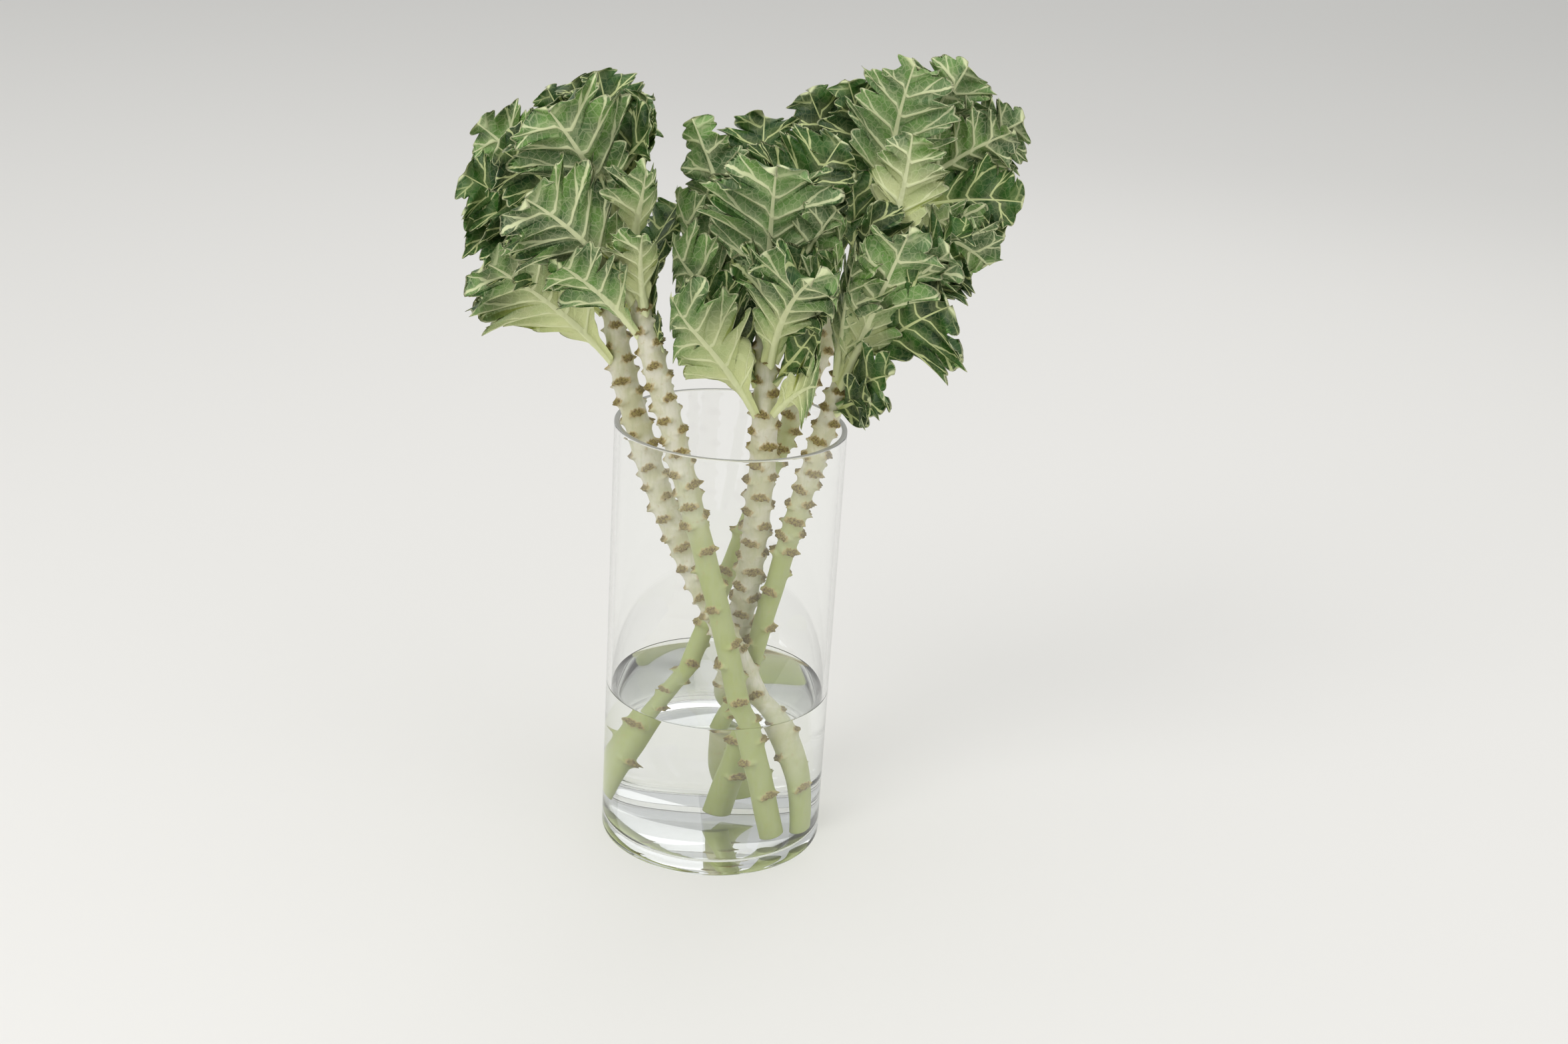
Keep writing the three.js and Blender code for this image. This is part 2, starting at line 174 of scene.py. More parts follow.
blade = {
    "lobeEvery": 17, "mostLobes": 6, "petioleShare": 0.1, "petioleWidth": 0.15, "lobeDepth": 0.38,
    "widest": 0.34, "shoulder": 0.42, "fold": 16, "ruffle": 0.11, "sweep": 0.95, "sweepFall": 0.7,
    "root": 0.75, "gapToNextHead": 1.0, "give": 14, "rooted": 0.25, "rolledFrom": 0.35,
    "longer": 1.04, "wider": 1.13, "rows": 120, "columns": 36,
    "toothDepth": 0.11, "crimp": 0.045, "pucker": 1.0, "alternate": 0.45, "uneven": 0.12, "lean": 0.35,
    "edgeAbove": 0.2, "edgeBelow": 0.25, "ribHalf": (3.4, 0.7), "ribAbove": 0.5, "ribBelow": (2.6, 0.5),
    "veinHalf": (1.1, 0.5), "veinBelow": 0.75, "veinStep": 0.7, "lookStep": 0.62,
}


# Lobes alternate from side to side and no two are alike; each carries three teeth.
def outline(u, v, lobes, seed):
    t = np.clip((u - blade["petioleShare"]) / (1 - blade["petioleShare"]), 0, 1)
    turns = (lobes + 0.5) * t + blade["alternate"] * smooth(-0.12, 0.12, v)
    phase = math.pi * (turns + blade["uneven"] * np.sin(7 * t + 2.3 * seed + v))
    grown = np.clip(t * 6, 0, 1)
    lobe = np.abs(np.sin(phase))
    tooth = np.abs(np.sin(3 * phase))
    notch = (blade["lobeDepth"] * (1 - lobe**0.85) + blade["toothDepth"] * (1 - tooth**0.9)) * grown
    widening = mix(blade["petioleWidth"], 1, smooth(0, blade["widest"], t))
    rounding = np.clip(1 - ((t - blade["shoulder"]) / (1 - blade["shoulder"]))**2, 0, 1)**0.6
    whole = np.where(t < blade["shoulder"], widening, rounding)
    return t, phase, whole * (1 - notch), whole * (1 - blade["lean"] * notch)


# The middle surface of a leaf, at shares u of its length and v from -1 to 1 across it, with
# its normals, its distances from the midrib and along it, and where its lobes stand.
def bladeSurface(stem, leaf, seed, u, v, lobes):
    down, turn, riseDeg, length, width, bendDeg, rollDeg = leaf[:7]
    length, width = length * blade["longer"], width * blade["wider"]
    point, along, front, right = [row[0] for row in stationsOn(stem, stem["length"] - down)]
    outward = math.cos(math.radians(turn)) * front + math.sin(math.radians(turn)) * right
    stalkRadius = stem["radius"] * (0.45 + 0.55 * min(1, down / 70))
    rise, bend = math.radians(riseDeg), math.radians(bendDeg)
    t, phase, share, leaning = outline(u, v, lobes, seed)
    side = np.abs(v)
    reach = width / 2 * share * v
    sweep = blade["sweep"] * (1 - blade["sweepFall"] * u)
    run = u + sweep * width / 2 * leaning * side / length
    angle = rise + bend * run
    alongShare = (np.sin(angle) - math.sin(rise)) / bend
    outShare = (math.cos(rise) - np.cos(angle)) / bend
    sine, cosine = np.sin(angle)[..., None], np.cos(angle)[..., None]
    heading = cosine * along + sine * outward
    facing = sine * along - cosine * outward
    roll = (math.radians(rollDeg) * np.clip(u / blade["rolledFrom"], 0, 1))[..., None]
    normal = facing * np.cos(roll) + np.cross(heading, facing) * np.sin(roll)
    across = np.cross(normal, heading)
    grown = np.clip(t * 3, 0, 1)
    height = np.abs(reach) * math.tan(math.radians(blade["fold"])) * (1 - 0.45 * side)
    wavePhase = phase + seed * 2.1 + np.where(v > 0, 1.7, 0)
    height = height + width * blade["ruffle"] * side**1.5 * np.sin(wavePhase) * grown
    crimp = np.sin(3.3 * phase + seed + 2.6 * v) * side**2.5
    height = height + width * blade["crimp"] * crimp * grown
    pucker = np.abs(np.cos(phase)) * np.sin(math.pi * side)**0.7
    height = height + blade["pucker"] * pucker * grown
    place = point + outward * stalkRadius * blade["root"]
    place = place + length * (outShare[..., None] * outward + alongShare[..., None] * along)
    place = place + across * reach[..., None] + normal * height[..., None]
    return place, normal, reach, run, t, phase


# A leaf that nears a parting is pressed back along it, ever more gently, and never passes it.
def pressBack(surface, u, partingsOf):
    share = np.clip(u / blade["rooted"], 0, 1)
    for normal, at in partingsOf:
        room = surface @ normal - at - blade["gapToNextHead"]
        pressed = blade["give"] * np.exp(np.minimum(room / blade["give"], 1) - 1)
        back = np.where(room < blade["give"], pressed - room, 0) * share
        surface = surface + normal * back[:, None]
    return surface


# Pairs run from the highest leaf to the lowest; bend and roll vary from leaf to leaf.
behindRule = {
    "down": 8, "above": 18, "rise": (16, 36), "length": (68, 92), "width": (46, 54),
    "bend": (16, 24), "roll": 30, "cream": 0.3, "goldenShare": 0.618034,
}


def leavesBehind(stem):
    count, middleTurn, spread = stem["behind"]
    leaves = []
    for place in range(count):
        share = (place + 0.5) / count
        down = mix(behindRule["down"], stem["head"] - behindRule["above"], share)
        turn = middleTurn + spread * (2 * ((place * behindRule["goldenShare"]) % 1) - 1)
        rise, length, width = [mix(*behindRule[measure], share) for measure in ("rise", "length", "width")]
        bend = mix(*behindRule["bend"], draw(place + 3, 1))
        roll = behindRule["roll"] * (draw(place + 3, 2) - 0.5)
        leaves.append((down, turn, rise, length, width, bend, roll, behindRule["cream"]))
    return leaves


# One leaf is a grid wrapped once round the blade: over its upper side and back below it.
def growLeaf(bm, layers, stem, leaf, seed):
    lobes = min(max(round(leaf[3] / blade["lobeEvery"]), 2), blade["mostLobes"])
    made = bmesh.ops.create_grid(bm, x_segments=blade["rows"], y_segments=blade["columns"], size=1)
    verts = made["verts"]
    corners = np.array([vert.co[:2] for vert in verts])
    u = (corners[:, 0] + 1) / 2
    wrap = corners[:, 1] * 2 + 1
    under = wrap > 1
    v = np.where(under, 2 - wrap, wrap)
    surface, normal, reach, run, t, phase = bladeSurface(stem, leaf, seed, u, v, lobes)
    surface = pressBack(surface, u, stem["partings"])
    length, cream = leaf[3], leaf[7]
    side = np.abs(v)
    edge = 1 - side**6
    rib = np.sqrt(np.clip(1 - (reach / mix(*blade["ribHalf"], u))**2, 0, 1))
    veinGap = np.abs((phase / math.pi) % 1 - 0.5) * length * blade["veinStep"] / (lobes + 0.5)
    vein = np.exp(-(veinGap / mix(*blade["veinHalf"], side))**2) * (1 - side)**0.6 * np.clip(t * 8, 0, 1)
    above = blade["edgeAbove"] * edge + blade["ribAbove"] * rib * (1 - 0.6 * u)
    below = blade["edgeBelow"] * edge + mix(*blade["ribBelow"], u) * rib + blade["veinBelow"] * vein
    inside = (side < 0.999) & (u > 0.001) & (u < 0.999)
    offset = np.where(under, -below, above) * inside
    surface = surface + normal * offset[:, None]
    tone = draw(seed, 5 + stem["radius"])
    wrapOf = {}
    step = blade["lookStep"] * length / (lobes + 0.5)
    rows = zip(verts, surface * mm, u, v, wrap, run * length, reach, phase / math.pi)
    for vert, place, shareAlong, shareAside, wrapped, along, aside, lobeAt in rows:
        vert.co = place
        vert[layers["place"]] = (shareAlong, shareAside, tone)
        vert[layers["flat"]] = (along, aside, 40 * seed)
        vert[layers["kind"]] = (step, lobeAt, cream)
        wrapOf[vert] = wrapped
    for face in {face for vert in verts for face in vert.link_faces}:
        face.smooth = True
        # a face on the under side has all four corners past the edge, at 1
        face.material_index = int(sum(wrapOf[vert] for vert in face.verts) > 4)


def finishPiece(name, bm, materials, nodes):
    mesh = bpy.data.meshes.new(name)
    bm.to_mesh(mesh)
    bm.free()
    piece = bpy.data.objects.new(name, mesh)
    bpy.context.scene.collection.objects.link(piece)
    for material in materials:
        mesh.materials.append(material)
    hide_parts(*nodes)
    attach(piece, "root")


# Shader helpers: each returns the socket that holds its result.
def newMaterial(name):
    material = bpy.data.materials.new(name)
    material.use_nodes = True
    tree = material.node_tree
    tree.nodes.clear()
    output = tree.nodes.new("ShaderNodeOutputMaterial")
    return material, tree, output


def feed(tree, socket, value):
    if isinstance(value, bpy.types.NodeSocket):
        tree.links.new(value, socket)
    else:
        socket.default_value = value


def calc(tree, operation, *values):
    node = tree.nodes.new("ShaderNodeMath")
    node.operation = operation
    for socket, value in zip(node.inputs, values):
        feed(tree, socket, value)
    return node.outputs[0]


def ramp(tree, value, low, high, lowTo=0.0, highTo=1.0):
    node = tree.nodes.new("ShaderNodeMapRange")
    node.interpolation_type = "SMOOTHSTEP"
    for socket, number in zip(node.inputs, (value, low, high, lowTo, highTo)):
        feed(tree, socket, number)
    return node.outputs[0]


def blendColor(tree, share, first, second, mode="MIX"):
    node = tree.nodes.new("ShaderNodeMix")
    node.data_type = "RGBA"
    node.blend_type = mode
    feed(tree, node.inputs["Factor"], share)
    feed(tree, node.inputs[6], first)
    feed(tree, node.inputs[7], second)
    return node.outputs[2]


def attributeParts(tree, name):
    node = tree.nodes.new("ShaderNodeAttribute")
    node.attribute_name = name
    parts = tree.nodes.new("ShaderNodeSeparateXYZ")
    tree.links.new(node.outputs["Vector"], parts.inputs[0])
    return parts.outputs[0], parts.outputs[1], parts.outputs[2]


def noiseOf(tree, vector, scale, detail=3.0, roughness=0.55):
    node = tree.nodes.new("ShaderNodeTexNoise")
    feed(tree, node.inputs["Vector"], vector)
    node.inputs["Scale"].default_value = scale
    node.inputs["Detail"].default_value = detail
    node.inputs["Roughness"].default_value = roughness
    return node.outputs["Fac"]


def objectPlace(tree):
    return tree.nodes.new("ShaderNodeTexCoord").outputs["Object"]


def bumpOf(tree, height, strength, distance):
    node = tree.nodes.new("ShaderNodeBump")
    node.inputs["Strength"].default_value = strength
    node.inputs["Distance"].default_value = distance
    feed(tree, node.inputs["Height"], height)
    return node.outputs[0]


# Half widths are in mm. A fork reads: where it leaves its vein, slope, half width, strength.
# A net reads: scale, where it is full and where it ends, strength.
leafLooks = {
    "upper": {
        "deep": (0.005, 0.026, 0.007, 1), "light": (0.028, 0.104, 0.01, 1), "vein": (0.75, 0.81, 0.38, 1),
        "cream": (0.66, 0.72, 0.18, 1), "bloom": (0.055, 0.165, 0.03, 1), "bloomShare": 0.12,
        "toneShare": 0.25, "netShare": 0.12, "roughness": 0.4, "veinBump": -0.35,
        "beside": 0.16, "shine": 0.3, "through": 0.1, "veinHalf": 0.62, "ribHalf": 1.8,
    },
    "under": {
        "deep": (0.022, 0.07, 0.016, 1), "light": (0.14, 0.3, 0.045, 1), "vein": (0.85, 0.89, 0.52, 1),
        "cream": (0.78, 0.82, 0.41, 1), "bloom": (0.23, 0.4, 0.14, 1), "bloomShare": 0.32,
        "toneShare": 0.3, "netShare": 0.3, "roughness": 0.5, "veinBump": 0.5,
        "beside": 0.34, "shine": 0.35, "through": 0.1, "veinHalf": 0.95, "ribHalf": 3.1,
    },
    # edge: the pale colour of a painted highlight along each leaf's margin and tip
    "edge": (0.8, 0.84, 0.48, 1), "through": (0.4, 0.55, 0.1, 1),
    "forks": ((0.3, 0.46, 0.42, 0.9), (0.52, -0.66, 0.36, 0.85)),
    "nets": ((0.24, 0.025, 0.08, 1.0), (0.6, 0.03, 0.1, 0.45)),
    "wobbleScale": 0.09, "wobble": 0.2, "mottleScale": 45.0, "bloomScale": 16.0,
    "bump": (0.8, 0.001), "mottleBump": 0.4,
}


# Veins follow the blade: a midrib, a side vein to each lobe, its forks, and a fine net.
def leafMaterial(name, looks):
    material, tree, output = newMaterial(name)
    u, v, tone = attributeParts(tree, "place")
    step, phase, cream = attributeParts(tree, "kind")
    flat = tree.nodes.new("ShaderNodeAttribute")
    flat.attribute_name = "flat"
    aside = calc(tree, "ABSOLUTE", attributeParts(tree, "flat")[1])
    side = calc(tree, "ABSOLUTE", v)
    wobble = noiseOf(tree, flat.outputs["Vector"], leafLooks["wobbleScale"])
    wobble = calc(tree, "MULTIPLY", calc(tree, "SUBTRACT", wobble, 0.5), leafLooks["wobble"])
    offLobe = calc(tree, "SUBTRACT", calc(tree, "FRACT", phase), 0.5)
    offLobe = calc(tree, "ADD", offLobe, wobble)
    offMain = calc(tree, "MULTIPLY", calc(tree, "ABSOLUTE", offLobe), step)
    thinning = calc(tree, "MULTIPLY", side, looks["veinHalf"] * 0.72)
    mainHalf = calc(tree, "SUBTRACT", looks["veinHalf"], thinning)
    veins = ramp(tree, calc(tree, "DIVIDE", offMain, mainHalf), 0.6, 1.25, 1.0, 0.0)
    for start, slope, half, share in leafLooks["forks"]:
        past = calc(tree, "MAXIMUM", calc(tree, "SUBTRACT", side, start), 0.0)
        offFork = calc(tree, "SUBTRACT", offLobe, calc(tree, "MULTIPLY", past, slope))
        gap = calc(tree, "MULTIPLY", calc(tree, "ABSOLUTE", offFork), step)
        veins = calc(tree, "MAXIMUM", veins, ramp(tree, gap, half * 0.5, half, share, 0.0))
    veins = calc(tree, "MULTIPLY", veins, ramp(tree, u, 0.86, 0.97, 1.0, 0.3))
    ribHalf = calc(tree, "SUBTRACT", looks["ribHalf"], calc(tree, "MULTIPLY", u, looks["ribHalf"] * 0.82))
    rib = ramp(tree, calc(tree, "DIVIDE", aside, ribHalf), 0.75, 1.1, 1.0, 0.0)
    net = 0.0
    for scale, low, high, share in leafLooks["nets"]:
        cells = tree.nodes.new("ShaderNodeTexVoronoi")
        cells.feature = "DISTANCE_TO_EDGE"
        cells.inputs["Scale"].default_value = scale
        tree.links.new(flat.outputs["Vector"], cells.inputs["Vector"])
        net = calc(tree, "MAXIMUM", net, ramp(tree, cells.outputs["Distance"], low, high, share, 0.0))
    net = calc(tree, "MULTIPLY", net, looks["netShare"])
    bladeStarts = ramp(tree, u, blade["petioleShare"] - 0.02, blade["petioleShare"] + 0.07)
    veins = calc(tree, "MULTIPLY", calc(tree, "MAXIMUM", veins, net), bladeStarts)
    veins = calc(tree, "MAXIMUM", veins, rib)
    place = objectPlace(tree)
    mottle = noiseOf(tree, place, leafLooks["mottleScale"], 4.0)
    body = blendColor(tree, ramp(tree, mottle, 0.38, 0.62), looks["deep"], looks["light"])
    bloomNoise = noiseOf(tree, place, leafLooks["bloomScale"], 5.0, 0.65)
    bloom = calc(tree, "MULTIPLY", ramp(tree, bloomNoise, 0.38, 0.68), looks["bloomShare"])
    bloom = calc(tree, "ADD", bloom, calc(tree, "MULTIPLY", tone, looks["toneShare"]))
    body = blendColor(tree, bloom, body, looks["bloom"])
    beside = ramp(tree, offMain, 0.45, 4.5, looks["beside"], 0.0)
    beside = calc(tree, "MULTIPLY", beside, calc(tree, "SUBTRACT", 1.0, side))
    body = blendColor(tree, beside, body, looks["vein"])
    reachUp = calc(tree, "ADD", u, calc(tree, "MULTIPLY", side, 0.3))
    reachUp = calc(tree, "ADD", reachUp, calc(tree, "MULTIPLY", calc(tree, "SUBTRACT", mottle, 0.5), 0.45))
    pale = ramp(tree, calc(tree, "DIVIDE", reachUp, calc(tree, "ADD", cream, 0.1)), 0.4, 1.2, 0.95, 0.0)
    body = blendColor(tree, pale, body, looks["cream"])
    body = blendColor(tree, calc(tree, "MULTIPLY", veins, 0.92), body, looks["vein"])
    # A pale band along the margin and tip is a painted highlight where light catches the leaf's edge.
    painted_margin_highlight = calc(tree, "MAXIMUM", ramp(tree, side, 0.955, 0.985), ramp(tree, u, 0.975, 0.99))
    body = blendColor(tree, calc(tree, "MULTIPLY", painted_margin_highlight, 0.9), body, leafLooks["edge"])
    raised = calc(tree, "MULTIPLY", veins, looks["veinBump"])
    height = calc(tree, "ADD", raised, calc(tree, "MULTIPLY", mottle, leafLooks["mottleBump"]))
    shader = tree.nodes.new("ShaderNodeBsdfPrincipled")
    shader.inputs["Roughness"].default_value = looks["roughness"]
    shader.inputs["Specular IOR Level"].default_value = looks["shine"]
    feed(tree, shader.inputs["Base Color"], body)
    feed(tree, shader.inputs["Normal"], bumpOf(tree, height, *leafLooks["bump"]))
    glow = tree.nodes.new("ShaderNodeBsdfTranslucent")
    feed(tree, glow.inputs["Color"], blendColor(tree, 0.5, body, leafLooks["through"]))
    mixer = tree.nodes.new("ShaderNodeMixShader")
    mixer.inputs[0].default_value = looks["through"]
    tree.links.new(shader.outputs[0], mixer.inputs[1])
    tree.links.new(glow.outputs[0], mixer.inputs[2])
    tree.links.new(mixer.outputs[0], output.inputs["Surface"])
    return material


stalkLooks = {
    "pale": (0.61, 0.59, 0.38, 1), "white": (0.74, 0.71, 0.58, 1), "green": (0.37, 0.44, 0.11, 1),
    "crust": (0.13, 0.075, 0.025, 1), "olive": (0.36, 0.3, 0.08, 1), "tan": (0.5, 0.37, 0.16, 1),
    "lines": (0.46, 0.5, 0.28, 1), "roughness": 0.5,
    "underSkin": 0.15, "underSkinRadius": (0.004, 0.004, 0.002),
    "lineScale": 420.0, "lineStretch": (1, 1, 0.15), "lineBump": 0.25, "patchScale": 70.0,
    "crumbScale": 900.0, "tornScale": 330.0, "torn": 1.6, "bump": (0.6, 0.0008),
}


def stalkMaterial():
    material, tree, output = newMaterial("stalkSkin")
    scarred, greenness, ledge = attributeParts(tree, "skin")
    place = objectPlace(tree)
    streaks = tree.nodes.new("ShaderNodeMapping")
    tree.links.new(place, streaks.inputs["Vector"])
    streaks.inputs["Scale"].default_value = stalkLooks["lineStretch"]
    lines = noiseOf(tree, streaks.outputs[0], stalkLooks["lineScale"])
    patches = noiseOf(tree, place, stalkLooks["patchScale"], 4.0)
    body = blendColor(tree, ramp(tree, patches, 0.35, 0.65), stalkLooks["pale"], stalkLooks["white"])
    body = blendColor(tree, greenness, body, stalkLooks["green"])
    body = blendColor(tree, ramp(tree, lines, 0.45, 0.75, 0.0, 0.35), body, stalkLooks["lines"])
    crumbs = noiseOf(tree, place, stalkLooks["crumbScale"], 5.0, 0.7)
    torn = calc(tree, "SUBTRACT", noiseOf(tree, place, stalkLooks["tornScale"], 4.0, 0.65), 0.5)
    ragged = calc(tree, "ADD", scarred, calc(tree, "MULTIPLY", torn, stalkLooks["torn"]))
    crust = blendColor(tree, ramp(tree, crumbs, 0.4, 0.6), stalkLooks["crust"], stalkLooks["olive"])
    body = blendColor(tree, calc(tree, "MULTIPLY", ledge, 0.3), body, stalkLooks["olive"])
    body = blendColor(tree, ramp(tree, ragged, 0.12, 0.5, 0.0, 0.7), body, stalkLooks["tan"])
    body = blendColor(tree, ramp(tree, ragged, 0.5, 0.85, 0.0, 0.9), body, crust)
    raised = calc(tree, "MULTIPLY", lines, stalkLooks["lineBump"])
    height = calc(tree, "ADD", calc(tree, "MULTIPLY", crumbs, scarred), raised)
    shader = tree.nodes.new("ShaderNodeBsdfPrincipled")
    shader.inputs["Roughness"].default_value = stalkLooks["roughness"]
    shader.inputs["Subsurface Weight"].default_value = stalkLooks["underSkin"]
    shader.inputs["Subsurface Radius"].default_value = stalkLooks["underSkinRadius"]
    feed(tree, shader.inputs["Base Color"], body)
    feed(tree, shader.inputs["Normal"], bumpOf(tree, height, *stalkLooks["bump"]))
    tree.links.new(shader.outputs[0], output.inputs["Surface"])
    return material


# Clear bodies let shadow and diffuse rays through, so what stands in and under them is lit.
def clearMaterial(name, ior, tint, roughness=0.0, clearness=1.0):
    material, tree, output = newMaterial(name)
    shader = tree.nodes.new("ShaderNodeBsdfPrincipled")
    shader.inputs["Base Color"].default_value = tint
    shader.inputs["Roughness"].default_value = roughness
    shader.inputs["Transmission Weight"].default_value = clearness
    shader.inputs["IOR"].default_value = ior
    clear = tree.nodes.new("ShaderNodeBsdfTransparent")
    clear.inputs["Color"].default_value = (0.99, 0.995, 0.99, 1)
    lightPath = tree.nodes.new("ShaderNodeLightPath")
    mixer = tree.nodes.new("ShaderNodeMixShader")
    shadowRay, diffuseRay = lightPath.outputs["Is Shadow Ray"], lightPath.outputs["Is Diffuse Ray"]
    tree.links.new(calc(tree, "MAXIMUM", shadowRay, diffuseRay), mixer.inputs[0])
    tree.links.new(shader.outputs[0], mixer.inputs[1])
    tree.links.new(clear.outputs[0], mixer.inputs[2])
    tree.links.new(mixer.outputs[0], output.inputs["Surface"])
    return material


# Sizes are in mm. A scar is a cushion that swells up to a ledge, with a torn face above its lip.
stalk = {
    "sides": 48, "rowEvery": 0.7, "coreTip": 0.42, "wave": 0.18, "dent": 0.15, "insideGlass": 71.2,
    "scarFirst": 34, "scarsEnd": 50, "wetStep": 14, "dryStep": 4.5, "firstTurn": 40, "goldenTurn": 137.5,
    "scarHalf": 5.2, "scarSize": (0.8, 1.15), "swell": 1.3, "ledge": 2.3, "taper": 5.5, "ledgeTop": 2.0,
    "spur": 1.7, "horn": 1.0, "middle": 1.3, "crest": 1.1, "lip": 0.6, "faceUp": 1.1, "faceHalf": 2.7,
    "greenBlend": 45,
}


def scarsOf(stem):
    scars, turn, distance = [], stalk["firstTurn"], stalk["scarFirst"]
    while distance < stem["length"] - stalk["scarsEnd"]:
        scars.append((distance, turn))
        distance += stalk["wetStep"] if distance < stem["sparseBelow"] else stalk["dryStep"]
        turn += stalk["goldenTurn"]
    return scars


# A stalk is a grid wrapped round the stem's curve, swollen under each leaf scar.
def growStalk(stem, material):
    bm = bmesh.new()
    skin = bm.verts.layers.float_vector.new("skin")
    rows = int(stem["length"] / stalk["rowEvery"])
    made = bmesh.ops.create_grid(bm, x_segments=rows, y_segments=stalk["sides"], size=1)
    verts = made["verts"]
    corners = np.array([vert.co[:2] for vert in verts])
    distance = (corners[:, 0] + 1) / 2 * stem["length"]
    turn = (corners[:, 1] + 1) * math.pi
    core = np.clip((distance - stem["neck"]) / stem["head"], 0, 1)
    radius = stem["radius"] * mix(1, stalk["coreTip"], core)
    radius = radius + stalk["wave"] * np.sin(3 * turn + distance / 19)
    radius = radius + stalk["dent"] * np.sin(distance / 7 + turn)
    scarred, ledges = np.zeros(len(turn)), np.zeros(len(turn))
    for place, (at, scarTurn) in enumerate(scarsOf(stem)):
        size = mix(*stalk["scarSize"], draw(place + 1, stem["radius"]))
        up = distance - at - 0.5 * (draw(place, 4) - 0.5)
        apart = (turn - math.radians(scarTurn) + math.pi) % (2 * math.pi) - math.pi
        off = np.abs(apart) * stem["radius"]
        half = stalk["scarHalf"] * size * (1 - 0.3 * core)
        up = up + (0.5 * np.sin(apart * 17 + place * 2.4) + 0.35 * np.sin(apart * 41 + place))
        spread = np.exp(-(off / (half * stalk["swell"]))**4)
        below = np.clip(1 + up / stalk["taper"], 0, 1)**1.8
        fall = np.where(up < 0, below, np.exp(-(up / stalk["ledgeTop"])**2))
        horn = np.exp(-((off - half * 0.85) / stalk["horn"])**2)
        horn = horn * (0.2 + draw(place, 6) + 0.3 * np.sign(apart))
        middle = np.exp(-(off / stalk["middle"])**2) * 1.1 * draw(place, 9)
        crest = (horn + middle) * np.exp(-((up - 0.4 * draw(place, 2)) / stalk["crest"])**2)
        lip = np.exp(-((up + 0.1) / stalk["lip"])**2) * spread * 0.5
        radius = radius + size * (stalk["ledge"] * spread * fall + stalk["spur"] * (crest + lip))
        face = 1 - (off / half)**2 - ((up - stalk["faceUp"]) / stalk["faceHalf"])**2
        scarred = np.maximum(scarred, np.clip(0.25 + face, 0, 1))
        ledges = np.maximum(ledges, np.clip(spread * np.exp(-((up + 0.4) / 1.5)**2) + crest, 0, 1))
    # the cut foot closes in to a flat end, and so does the tip
    radius = np.where(np.abs(corners[:, 0]) > 0.99999, 0, radius)
    point, along, front, right = stationsOn(stem, distance)
    outward = np.cos(turn)[:, None] * front + np.sin(turn)[:, None] * right
    shift = np.where(corners[:, 0] < -0.99999, stem["length"] / rows, 0)
    surface = point + outward * radius[:, None] + along * shift[:, None]
    # a scar that leans on the glass is pressed flat by it
    pressed = np.minimum(1, stalk["insideGlass"] / np.hypot(surface[:, 0], surface[:, 1]))
    surface[:, :2] *= np.where(surface[:, 2] < vase["height"], pressed, 1)[:, None]
    blend = stalk["greenBlend"]
    greenness = smooth(-blend, blend, stem["greenBelow"] - distance) * (1 - 0.25 * draw(stem["radius"], 2))
    for vert, place, *looks in zip(verts, surface * mm, scarred, greenness, np.clip(ledges, 0, 1)):
        vert.co = place
        vert[skin] = looks
    for face in bm.faces:
        face.smooth = True
    bmesh.ops.remove_doubles(bm, verts=bm.verts, dist=1e-6)
    bmesh.ops.recalc_face_normals(bm, faces=bm.faces)
    finishPiece(f"stalk_{stem['name']}_skin", bm, [material], [f"stalk_{stem['name']}"])


def growHead(stem, materials):
    bm = bmesh.new()
    layers = {
        "place": bm.verts.layers.float_vector.new("place"),
        "flat": bm.verts.layers.float_vector.new("flat"),
        "kind": bm.verts.layers.float_vector.new("kind"),
    }
    for place, leaf in enumerate(stem["leaves"] + leavesBehind(stem) + stem["inner"]):
        growLeaf(bm, layers, stem, leaf, place + 1)
    bmesh.ops.remove_doubles(bm, verts=bm.verts, dist=1e-7)
    finishPiece(f"head_{stem['name']}", bm, materials, [f"leaves_{stem['name']}"])


def spinProfile(profile, sides):
    bm = bmesh.new()
    verts = [bm.verts.new((x * mm, 0, z * mm)) for x, z in profile]
    edges = [bm.edges.new(pair) for pair in zip(verts, verts[1:])]
    bmesh.ops.spin(bm, geom=verts + edges, cent=(0, 0, 0), axis=(0, 0, 1), angle=2 * math.pi,
                   steps=sides, use_merge=True)
    bmesh.ops.remove_doubles(bm, verts=bm.verts, dist=1e-6)
    bmesh.ops.recalc_face_normals(bm, faces=bm.faces)
    for face in bm.faces:
        face.smooth = True
    return bm


# A rounded corner in the profile, from one angle to another, as points from its middle.
def corner(x, z, radius, first, last, count):
    turns = np.radians(np.linspace(first, last, count))
    return [(x + radius * math.cos(a), z + radius * math.sin(a)) for a in turns]


# The glass stands on a foot ring, round a slightly hollow underside. The extra points next to
# each rounded corner keep the flat walls flat.
def makeVase(material, rimMaterial):
    radius, height, floor, hollow = vase["radius"], vase["height"], vase["floor"], vase["hollow"]
    inner = radius - vase["wall"]
    rim, foot, well = vase["rimRound"], vase["footRound"], vase["wellRound"]
    profile = [(0, hollow), (vase["hollowRadius"], hollow), (radius - 6.5, 0.3), (radius - 5.5, 0)]
    profile += [(radius - foot - 0.7, 0), *corner(radius - foot, foot, foot, -90, 0, 7)]
    profile += [(radius, foot + 0.7), (radius, height - 2.4)]
    profile += corner(radius - rim, height - rim, rim, 0, 90, 6)
    profile += corner(inner + rim, height - rim, rim, 90, 180, 6)
    profile += [(inner, height - 2.4), (inner, floor + well + 0.8)]
    profile += corner(inner - well, floor + well, well, 0, -90, 7)
    profile += [(inner - well - 0.8, floor), (0, floor)]
    bm = spinProfile(profile, vase["sides"])
    for face in bm.faces:
        face.material_index = int(face.calc_center_median().z > (height - vase["rimBand"]) * mm)
    finishPiece("vase_glass", bm, [material, rimMaterial], ["vase"])


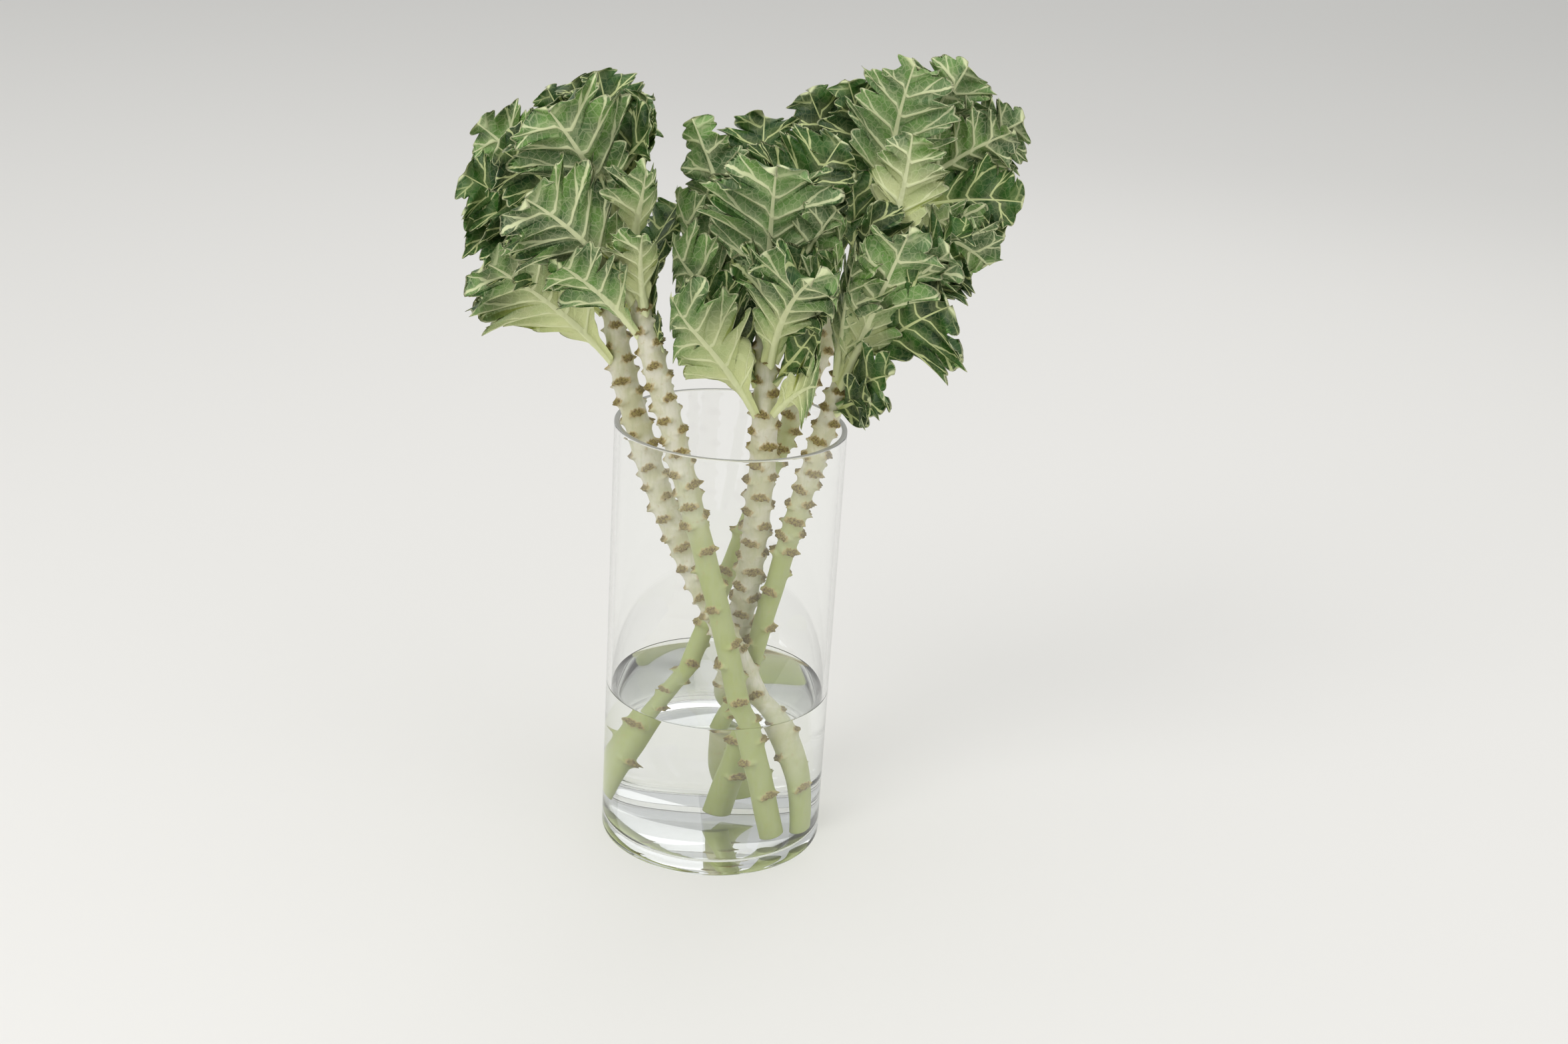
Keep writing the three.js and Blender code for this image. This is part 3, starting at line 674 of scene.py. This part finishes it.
# The water runs a little way into the glass, so no air shows between them, and creeps up it.
def makeWater(material):
    inner = vase["radius"] - vase["wall"] + water["overlap"]
    floor = vase["floor"] - water["overlap"]
    well, level = vase["wellRound"], water["level"]
    profile = [(0, floor), (inner - water["edge"], floor)]
    profile += corner(inner - well, floor + well, well, -90, 0, 7)
    profile += [(inner, floor + water["edge"]), (inner, level + 1)]
    for share in (0, 0.12, 0.3, 0.55, 0.8, 1):
        profile.append((inner - water["creepWidth"] * share, level + water["creep"] * (1 - share)**2.5))
    profile += [(inner - water["edge"], level), (0, level)]
    bm = spinProfile(profile, vase["sides"])
    finishPiece("water_body", bm, [material], ["water"])


# The camera's place in metres and its angles in degrees, worked out from the photograph.
photoView = {
    "place": (0.038, -1.198, 0.6816), "pitchDown": 20.86, "roll": 3.707, "lens": 44.93, "sensor": 36.0,
}


def placeCamera():
    data = bpy.data.cameras.new("camera")
    data.sensor_fit = "HORIZONTAL"
    data.sensor_width, data.lens = photoView["sensor"], photoView["lens"]
    camera = bpy.data.objects.new("camera", data)
    bpy.context.scene.collection.objects.link(camera)
    tilt = Matrix.Rotation(math.radians(90 - photoView["pitchDown"]), 4, "X")
    roll = Matrix.Rotation(math.radians(photoView["roll"]), 4, "Z")
    camera.matrix_world = Matrix.Translation(photoView["place"]) @ tilt @ roll
    bpy.context.scene.camera = camera


# The rear light only brightens the far floor, so glass and glossy faces don't show it.
studio = {
    "floorHalf": 14.0, "floor": (0.83, 0.81, 0.78, 1), "floorRoughness": 0.7,
    "world": (0.93, 0.95, 0.95, 1), "worldStrength": 0.56, "aim": (0, 0, 0.3),
}
softLights = [
    {"name": "ceiling", "place": (0, -0.5, 4.0), "size": 9.0, "power": 108},
    {"name": "key", "place": (-1.3, -1.5, 1.9), "size": 1.2, "power": 17},
    {"name": "fill", "place": (1.7, -1.0, 1.3), "size": 1.8, "power": 5},
    {"name": "back", "place": (0.6, 1.8, 1.6), "size": 1.6, "power": 3},
    {"name": "rear", "place": (0.5, 8.0, 3.5), "size": 8.0, "power": 34, "inGlass": False},
]


def lightStudio():
    bm = bmesh.new()
    bmesh.ops.create_grid(bm, x_segments=1, y_segments=1, size=studio["floorHalf"])
    mesh = bpy.data.meshes.new("floor")
    bm.to_mesh(mesh)
    bm.free()
    floor = bpy.data.objects.new("floor", mesh)
    bpy.context.scene.collection.objects.link(floor)
    material, tree, output = newMaterial("floorPaint")
    shader = tree.nodes.new("ShaderNodeBsdfPrincipled")
    shader.inputs["Base Color"].default_value = studio["floor"]
    shader.inputs["Roughness"].default_value = studio["floorRoughness"]
    tree.links.new(shader.outputs[0], output.inputs["Surface"])
    mesh.materials.append(material)
    world = bpy.data.worlds.new("studio")
    world.use_nodes = True
    background = world.node_tree.nodes["Background"]
    background.inputs["Color"].default_value = studio["world"]
    background.inputs["Strength"].default_value = studio["worldStrength"]
    bpy.context.scene.world = world
    for soft in softLights:
        data = bpy.data.lights.new(soft["name"], "AREA")
        data.shape, data.size, data.energy = "DISK", soft["size"], soft["power"]
        light = bpy.data.objects.new(soft["name"], data)
        light.location = soft["place"]
        light.visible_glossy = light.visible_transmission = soft.get("inGlass", True)
        aim = Vector(studio["aim"]) - light.location
        light.rotation_euler = aim.to_track_quat("-Z", "Y").to_euler()
        bpy.context.scene.collection.objects.link(light)


bpy.context.scene.view_settings.view_transform = "Standard"
placeCamera()
lightStudio()
print("studio ready")
leafMaterials = [
    leafMaterial("leafUpper", leafLooks["upper"]),
    leafMaterial("leafUnder", leafLooks["under"]),
]
stalkSkin = stalkMaterial()
for stem in stems:
    growStalk(stem, stalkSkin)
    growHead(stem, leafMaterials)
    print("grown", stem["name"])
clearGlass = clearMaterial("clearGlass", 1.5, (0.995, 1, 0.995, 1))
groundRim = clearMaterial("groundRim", 1.5, (0.95, 0.94, 0.88, 1), roughness=0.2, clearness=0.6)
makeVase(clearGlass, groundRim)
makeWater(clearMaterial("clearWater", 1.333, (0.995, 1, 1, 1)))
print("vase and water made")
